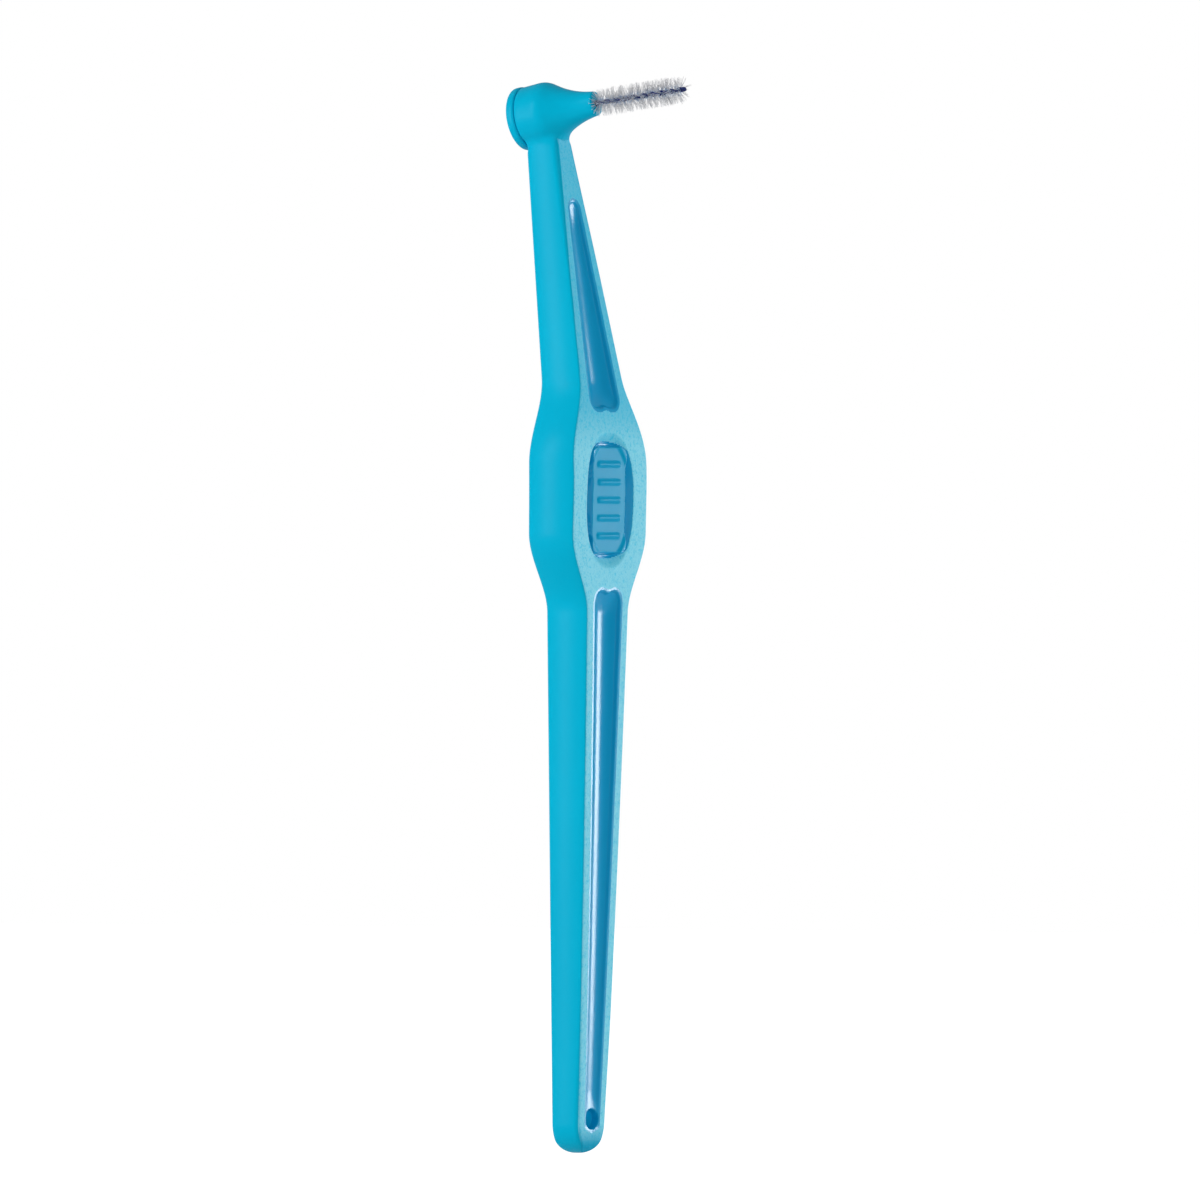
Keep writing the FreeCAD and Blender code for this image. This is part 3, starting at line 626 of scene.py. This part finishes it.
def roundedProfile(corners, steps):
    # corner points with a radius each, joined by straight runs and arcs
    points = []
    for index, (along, out, radius) in enumerate(corners):
        here = np.array((along, out), float)
        if radius == 0 or index in (0, len(corners) - 1):
            points.append(here)
            continue
        before = np.array(corners[index - 1][:2]) - here
        after = np.array(corners[index + 1][:2]) - here
        before /= np.linalg.norm(before)
        after /= np.linalg.norm(after)
        angle = math.acos(np.clip(before @ after, -1, 1))
        reach = radius / math.tan(angle / 2)
        middle = before + after
        centre = here + middle / np.linalg.norm(middle) * radius / math.sin(angle / 2)
        start, end = here + before * reach - centre, here + after * reach - centre
        sweep = math.acos(np.clip(start @ end / radius ** 2, -1, 1))
        for step in range(steps + 1):
            share = step / steps
            ray = (math.sin((1 - share) * sweep) * start + math.sin(share * sweep) * end) / math.sin(sweep)
            points.append(centre + ray)
    return points


def closeRings(profile, gap):
    # extra points along the straight runs, so that the joint can be blended
    points = [profile[0]]
    for before, after in zip(profile, profile[1:]):
        count = max(1, int(np.linalg.norm(after - before) / gap))
        points += [before + (after - before) * step / count for step in range(1, count + 1)]
    return points


def turnedShape(profile, axes, steps):
    # a closed shape turned about the first axis, its profile from axis to axis
    origin, forward, side, up = axes
    points, faces = [], []
    rings = profile[1:-1]
    for along, out in rings:
        for step in range(steps):
            angle = 2 * math.pi * step / steps
            points.append(origin + forward * along + (side * math.cos(angle) + up * math.sin(angle)) * out)
    first, last = len(points), len(points) + 1
    points += [origin + forward * profile[0][0], origin + forward * profile[-1][0]]
    for ring in range(len(rings) - 1):
        for step in range(steps):
            following = (step + 1) % steps
            faces.append((ring * steps + step, ring * steps + following,
                          (ring + 1) * steps + following, (ring + 1) * steps + step))
    base = (len(rings) - 1) * steps
    for step in range(steps):
        following = (step + 1) % steps
        faces.append((first, following, step))
        faces.append((last, base + step, base + following))
    return [tuple(point * mm) for point in points], faces


def headAxes():
    tilt = math.radians(headForm["tilt"])
    backward = Vector((-math.cos(tilt), 0, -math.sin(tilt)))
    up = Vector((-math.sin(tilt), 0, math.cos(tilt)))
    return Vector(headForm["mouth"]), backward, Vector((0, 1, 0)), up


def buildHub():
    form = headForm
    profile = roundedProfile([
        (form["boreDepth"], 0, 0), (form["boreDepth"], form["bore"], 0),
        (0, form["bore"], form["boreRound"]), (0, form["mouthRadius"], form["mouthRound"]),
        form["waist"], form["shoulder"], form["seam"], (form["length"], 0, 0),
    ], form["hubArc"])
    return turnedShape(closeRings(profile, form["ringGap"]), headAxes(), form["turnSteps"])


def blendJoint(thing):
    # relaxes the mesh along the line where hub and grip meet, so they run into each other
    mesh = thing.data
    count = len(mesh.vertices)
    places = np.empty(count * 3)
    mesh.vertices.foreach_get("co", places)
    places = places.reshape(-1, 3)
    touches = np.zeros((count, 2), bool)  # grip, hub
    for face in mesh.polygons:
        onHub = face.material_index == hubSlot
        touches[list(face.vertices), int(onHub)] = True
        if onHub:
            face.material_index = sideSlot
    seam = places[touches.all(axis=1)]
    near = np.flatnonzero(places[:, 2] > (gripForm["grainTop"] - headForm["blendBelow"]) * mm)
    apart = np.min(np.linalg.norm(places[near, None, :] - seam[None, :, :], axis=2), axis=1)
    weight = np.zeros(count)
    weight[near] = 1 - ease(apart, 0.0, headForm["blendReach"] * mm)
    edges = np.empty(len(mesh.edges) * 2, np.int64)
    mesh.edges.foreach_get("vertices", edges)
    first, second = edges.reshape(-1, 2).T
    moving = (weight[first] > 0) | (weight[second] > 0)
    first, second = first[moving], second[moving]
    degree = np.maximum(np.bincount(first, minlength=count) + np.bincount(second, minlength=count), 1)
    rate = headForm["blendRate"] * weight * (degree > 1)
    for step in range(headForm["blendRounds"]):
        total = np.zeros_like(places)
        np.add.at(total, first, places[second])
        np.add.at(total, second, places[first])
        places += (total / degree[:, None] - places) * rate[:, None]
    mesh.vertices.foreach_set("co", places.ravel())
    mesh.update()


def buildCap():
    form = headForm
    back = form["length"] + form["capThickness"]
    profile = roundedProfile([
        (form["length"], 0, 0), (form["length"], form["capRadius"], form["seamRound"]),
        (back, form["capRadius"], form["capRound"]), (back, 0, 0),
    ], form["capArc"])
    return turnedShape(profile, headAxes(), form["turnSteps"])


sideMaterial = mattePlastic("handle matte", handleFinish["side"])
faceMaterial = sparkPlastic("handle spark grain", handleFinish["face"])
hollowMaterial = polishedPlastic("handle polished hollow", handleFinish["hollow"])
plateMaterial = polishedPlastic("handle satin plate", handleFinish["plate"])
handleMaterials = [sideMaterial, faceMaterial, hollowMaterial, plateMaterial, sideMaterial]  # in slot order

gripPoints, gripFaces, gripSlots = buildGrip()
handle = meshObject("handle_shell", gripPoints, gripFaces, handleMaterials, gripSlots)
hubPoints, hubFaces = buildHub()
hub = meshObject("hub_tool", hubPoints, hubFaces, handleMaterials, [hubSlot] * len(hubFaces))
join = handle.modifiers.new("hub", "BOOLEAN")
join.operation = "UNION"
join.solver = "EXACT"
join.object = hub
applyModifiers(handle)
bpy.data.objects.remove(hub)
blendJoint(handle)
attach(handle, "root")
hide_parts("handle")
print("handle joined", len(handle.data.polygons), "faces")

capFinish = dict(handleFinish["side"], colour=srgb(0, 184, 220), shade=srgb(0, 172, 210))
capPoints, capFaces = buildCap()
cap = meshObject("rear_cap_disc", capPoints, capFaces, [mattePlastic("cap matte", capFinish)])
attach(cap, "root")
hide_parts("rear_cap")
print("cap ready")


# Wire: one coated wire folded at the tip and twisted

wireForm = {
    "tilt": 7.3, "core": 0.11, "wall": 0.065, "hair": 0.035,
    "pitch": 3.0, "turns": 4.875, "startBack": 0.75, "leadIn": 4.0,
    "loopRadius": 0.21, "loopRun": 0.35, "hookBack": 9.4, "hookBend": 0.5, "hookReach": 1.7,
    "stepsPerTurn": 24, "hookSteps": 8, "loopSteps": 12, "sides": 12,
}

wireFinish = {
    "colour": srgb(24, 44, 116), "shade": srgb(14, 26, 80), "driftScale": 900.0,
    "mottleScale": 4000.0, "mottle": 0.4, "roughness": 0.34, "roughSpread": (0.03, 0.05),
    "specular": 0.4, "waveScale": 2500.0, "waveDetail": 1.0, "bump": 0.1, "bumpDepth": 0.00002,
}
coreFinish = {
    "colour": srgb(150, 152, 156), "shade": srgb(118, 120, 126), "driftScale": 1200.0,
    "mottleScale": 6000.0, "mottle": 0.4, "roughness": 0.3, "specular": 0.5, "metallic": 1.0,
}


def wireAxes():
    tilt = math.radians(wireForm["tilt"])
    forward = Vector((math.cos(tilt), 0, math.sin(tilt)))
    return Vector(headForm["mouth"]), forward, Vector((0, 1, 0)), Vector((-math.sin(tilt), 0, math.cos(tilt)))


def wirePoint(along, side, up):
    origin, forward, sideway, upward = wireAxes()
    return origin + forward * along + sideway * side + upward * up


def wirePath():
    # from one hook along a strand, round the fold at the tip and back along the other strand
    form = wireForm
    offset = form["core"] + form["wall"] + form["hair"]
    count = int(form["turns"] * form["stepsPerTurn"])
    legs = []
    for phase in (0.0, math.pi):
        side = math.cos(phase)
        leg = [(-form["hookBack"], side * form["hookReach"], 0.0)]
        for step in range(form["hookSteps"] + 1):
            angle = math.pi / 2 * step / form["hookSteps"]
            leg.append((-form["hookBack"] + form["hookBend"] * (1 - math.cos(angle)),
                        side * (offset + form["hookBend"] * (1 - math.sin(angle))), 0.0))
        leg.append((-form["startBack"] - form["leadIn"], side * offset, 0.0))
        for step in range(count + 1):
            run = step * form["pitch"] / form["stepsPerTurn"]
            angle = phase + 2 * math.pi * run / form["pitch"]
            leg.append((run - form["startBack"], offset * math.cos(angle), offset * math.sin(angle)))
        legs.append(leg)
    tip = legs[0][-1]
    out = (tip[1] / offset, tip[2] / offset)
    fold = []
    for step in range(form["loopSteps"] + 1):
        angle = math.pi * step / form["loopSteps"]
        ahead = form["loopRun"] + form["loopRadius"] * math.sin(angle)
        reach = form["loopRadius"] * math.cos(angle)
        fold.append((tip[0] + ahead, out[0] * reach, out[1] * reach))
    return [wirePoint(*place) for place in legs[0] + fold + legs[1][::-1]]


def tubeAlong(path, radii, sides):
    # rings square to the path, carried along without twisting
    points, faces = [], []
    count = len(path)
    way = (path[1] - path[0]).normalized()
    out = way.orthogonal().normalized()
    for index, place in enumerate(path):
        ahead = (path[min(index + 1, count - 1)] - path[max(index - 1, 0)]).normalized()
        out = way.rotation_difference(ahead) @ out
        out = (out - ahead * out.dot(ahead)).normalized()
        way = ahead
        sideway = way.cross(out)
        for side in range(sides):
            angle = 2 * math.pi * side / sides
            points.append(place + (out * math.cos(angle) + sideway * math.sin(angle)) * radii[index])
    for index in range(count - 1):
        for side in range(sides):
            following = (side + 1) % sides
            faces.append((index * sides + side, index * sides + following,
                          (index + 1) * sides + following, (index + 1) * sides + side))
    faces.append(tuple(range(sides))[::-1])
    faces.append(tuple(range((count - 1) * sides, count * sides)))
    return points, faces


def steelMaterial(name, finish):
    material, tree, shader = newMaterial(name, finish)
    shader.inputs["Metallic"].default_value = finish["metallic"]
    tree.links.new(toneColour(tree, finish), shader.inputs["Base Color"])
    return material


wirePlaces = wirePath()
wireRadius = wireForm["core"] + wireForm["wall"]
wirePoints, wireFaces = tubeAlong(wirePlaces, [wireRadius] * len(wirePlaces), wireForm["sides"])
wire = meshObject("coated_wire", [point * mm for point in wirePoints], wireFaces,
                  [polishedPlastic("wire coating", wireFinish)])
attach(wire, "root")
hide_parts("wire_coating")
coreMaterial = steelMaterial("core steel", coreFinish)
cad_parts["wire_core"].data.materials.clear()
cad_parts["wire_core"].data.materials.append(coreMaterial)
print("wire ready", len(wireFaces), "faces")


# Filaments: fine nylon hairs pinched between the strands

hairForm = {
    "first": 0.2, "last": 13.75, "count": 900, "jitter": 0.4,
    "length": 4.1, "spread": 0.2, "radius": 0.02, "taper": 0.2,
    "fan": 50.0, "lean": 6.0, "sway": 0.16, "tuft": 3, "tuftFan": 7.0, "tuftLean": 2.0,
    "leanPlaces": (0.0, 0.5, 1.6, 11.0, 13.75), "leans": (2.0, -8.0, 6.0, 8.0, 12.0),
    "segments": 5, "sides": 4,
}
hairFinish = {
    "colour": srgb(240, 240, 240), "shade": srgb(212, 213, 218), "driftScale": 1500.0,
    "mottleScale": 9000.0, "mottle": 0.6, "roughness": 0.3, "specular": 0.4,
    # core: painted shade near the wire, where the dark strands show through the nylon
    "core": srgb(186, 206, 232), "coreFade": (0.0003, 0.0011),
}


def buildHairs():
    # each hair crosses the wire, and neighbours lean together in tufts
    form = hairForm
    points, faces = [], []
    for number in range(form["count"]):
        spot = number + rng.uniform(-form["jitter"], form["jitter"])
        along = form["first"] + (form["last"] - form["first"]) * spot / form["count"]
        angle = 2 * math.pi * (along + wireForm["startBack"]) / wireForm["pitch"] + math.pi / 2
        if number % form["tuft"] == 0:
            fan = rng.gauss(0, form["fan"])
            tilts = [rng.gauss(0, form["lean"]) for end in range(2)]
            sways = [rng.gauss(0, form["sway"]) for end in range(2)]
        angle += math.radians(fan + rng.gauss(0, form["tuftFan"]))
        middle = np.interp(along, form["leanPlaces"], form["leans"])
        path = []
        leans = [math.radians(middle + tilt + rng.gauss(0, form["tuftLean"])) for tilt in tilts]
        reaches = [form["length"] / 2 - abs(rng.gauss(0, form["spread"])) for end in range(2)]
        for end, sign in ((0, -1), (1, 1)):
            steps = range(form["segments"], 0, -1) if end == 0 else range(0, form["segments"] + 1)
            for step in steps:
                reach = reaches[end] * step / form["segments"]
                sway = sways[end] * (step / form["segments"]) ** 2
                out = sign * reach * math.cos(leans[end])
                path.append(wirePoint(along + math.sin(leans[end]) * reach,
                                      out * math.cos(angle) - sway * math.sin(angle),
                                      out * math.sin(angle) + sway * math.cos(angle)))
        swells = [math.sin(math.pi * index / (len(path) - 1)) for index in range(len(path))]
        radii = [form["radius"] * (1 - form["taper"] + form["taper"] * swell) for swell in swells]
        base = len(points)
        tubePoints, tubeFaces = tubeAlong(path, radii, form["sides"])
        points += tubePoints
        faces += [tuple(base + corner for corner in face) for face in tubeFaces]
    return points, faces


def nylonMaterial(name, finish):
    # clear nylon, with a painted shade near the wire for the dark strands seen through and behind it
    material, tree, shader = newMaterial(name, finish)
    tone = toneColour(tree, finish)
    origin, forward = wireAxes()[:2]
    vector = addNode(tree, "ShaderNodeTexCoord").outputs["Object"]
    for operation, constant in (("SUBTRACT", origin * mm), ("CROSS_PRODUCT", forward)):
        step = addNode(tree, "ShaderNodeVectorMath", operation=operation)
        tree.links.new(vector, step.inputs[0])
        step.inputs[1].default_value = constant
        vector = step.outputs["Vector"]
    length = addNode(tree, "ShaderNodeVectorMath", operation="LENGTH")
    tree.links.new(vector, length.inputs[0])
    clear = rampNode(tree, length.outputs["Value"], finish["coreFade"], interpolation="SMOOTHSTEP")
    tree.links.new(mixColour(tree, clear, finish["core"], tone), shader.inputs["Base Color"])
    return material


hairPoints, hairFaces = buildHairs()
hairs = meshObject("nylon_hairs", [point * mm for point in hairPoints], hairFaces,
                   [nylonMaterial("nylon", hairFinish)])
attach(hairs, "root")
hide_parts(*[f"filament_row_{row:02d}" for row in range(1, 10)])
print("hairs ready", len(hairFaces), "faces")


# Stage: white sweep, soft lamps and the camera

stageForm = {
    "floorDrop": -0.131, "floorSize": 8.0, "floorGlow": 0.85, "white": (1, 1, 1, 1),
    "centre": (0.001819, 0.00105, -0.01398), "azimuth": 30.0,
    "distance": 3.0, "frameWidth": 0.168, "sensor": 36.0, "farthest": 100,
}
floorFinish = {"colour": (0.9, 0.9, 0.9, 1), "roughness": 0.9, "specular": 0.5}
lampForm = {
    "key": {"place": (-0.5, -0.87, 0.22), "size": (0.3, 1.0), "power": 7.7},
    "fill": {"place": (0.97, -0.24, 0.1), "size": (0.8, 0.8), "power": 3.1},
    "rim": {"place": (0.43, 0.85, -0.142), "size": (0.235, 0.58), "power": 6.4},
    "top": {"place": (0.0, 0.0, 1.0), "size": (0.9, 0.9), "power": 0.3},
}
worldForm = {"shown": 1.0, "ambient": 0.3}


def buildWorld():
    world = bpy.data.worlds.new("white studio")
    bpy.context.scene.world = world
    world.use_nodes = True
    tree = world.node_tree
    background = next(node for node in tree.nodes if node.type == "BACKGROUND")
    background.inputs["Color"].default_value = stageForm["white"]
    seen = addNode(tree, "ShaderNodeLightPath").outputs["Is Camera Ray"]
    span = mathNode(tree, "MULTIPLY", seen, worldForm["shown"] - worldForm["ambient"])
    tree.links.new(mathNode(tree, "ADD", span, worldForm["ambient"]), background.inputs["Strength"])


def buildFloor():
    size, drop = stageForm["floorSize"] / 2, stageForm["floorDrop"]
    corners = [(-size, -size, drop), (size, -size, drop), (size, size, drop), (-size, size, drop)]
    material, tree, shader = newMaterial("floor white", floorFinish)
    shader.inputs["Base Color"].default_value = floorFinish["colour"]
    shader.inputs["Emission Color"].default_value = stageForm["white"]
    seen = addNode(tree, "ShaderNodeLightPath").outputs["Is Camera Ray"]
    glow = mathNode(tree, "MULTIPLY", seen, stageForm["floorGlow"])
    tree.links.new(glow, shader.inputs["Emission Strength"])
    floor = meshObject("floor", corners, [(0, 1, 2, 3)], [material], smooth=False)


def buildLamps():
    target = Vector(stageForm["centre"])
    for name, lamp in lampForm.items():
        light = bpy.data.lights.new(name, "AREA")
        light.shape = "RECTANGLE"
        light.size, light.size_y = lamp["size"]
        light.energy = lamp["power"]
        thing = bpy.data.objects.new(name, light)
        thing.location = lamp["place"]
        thing.rotation_euler = (target - Vector(lamp["place"])).to_track_quat("-Z", "Y").to_euler()
        bpy.context.scene.collection.objects.link(thing)


def buildCamera():
    azimuth = math.radians(stageForm["azimuth"])
    back = Vector((math.sin(azimuth), -math.cos(azimuth), 0))
    camera = bpy.data.cameras.new("camera")
    camera.sensor_width = stageForm["sensor"]
    camera.lens = stageForm["sensor"] * stageForm["distance"] / stageForm["frameWidth"]
    camera.clip_end = stageForm["farthest"]
    thing = bpy.data.objects.new("camera", camera)
    thing.location = Vector(stageForm["centre"]) + back * stageForm["distance"]
    thing.rotation_euler = back.to_track_quat("Z", "Y").to_euler()
    bpy.context.scene.collection.objects.link(thing)
    bpy.context.scene.camera = thing


buildWorld()
buildFloor()
buildLamps()
buildCamera()
bpy.context.scene.view_settings.view_transform = "Standard"
print("stage ready")
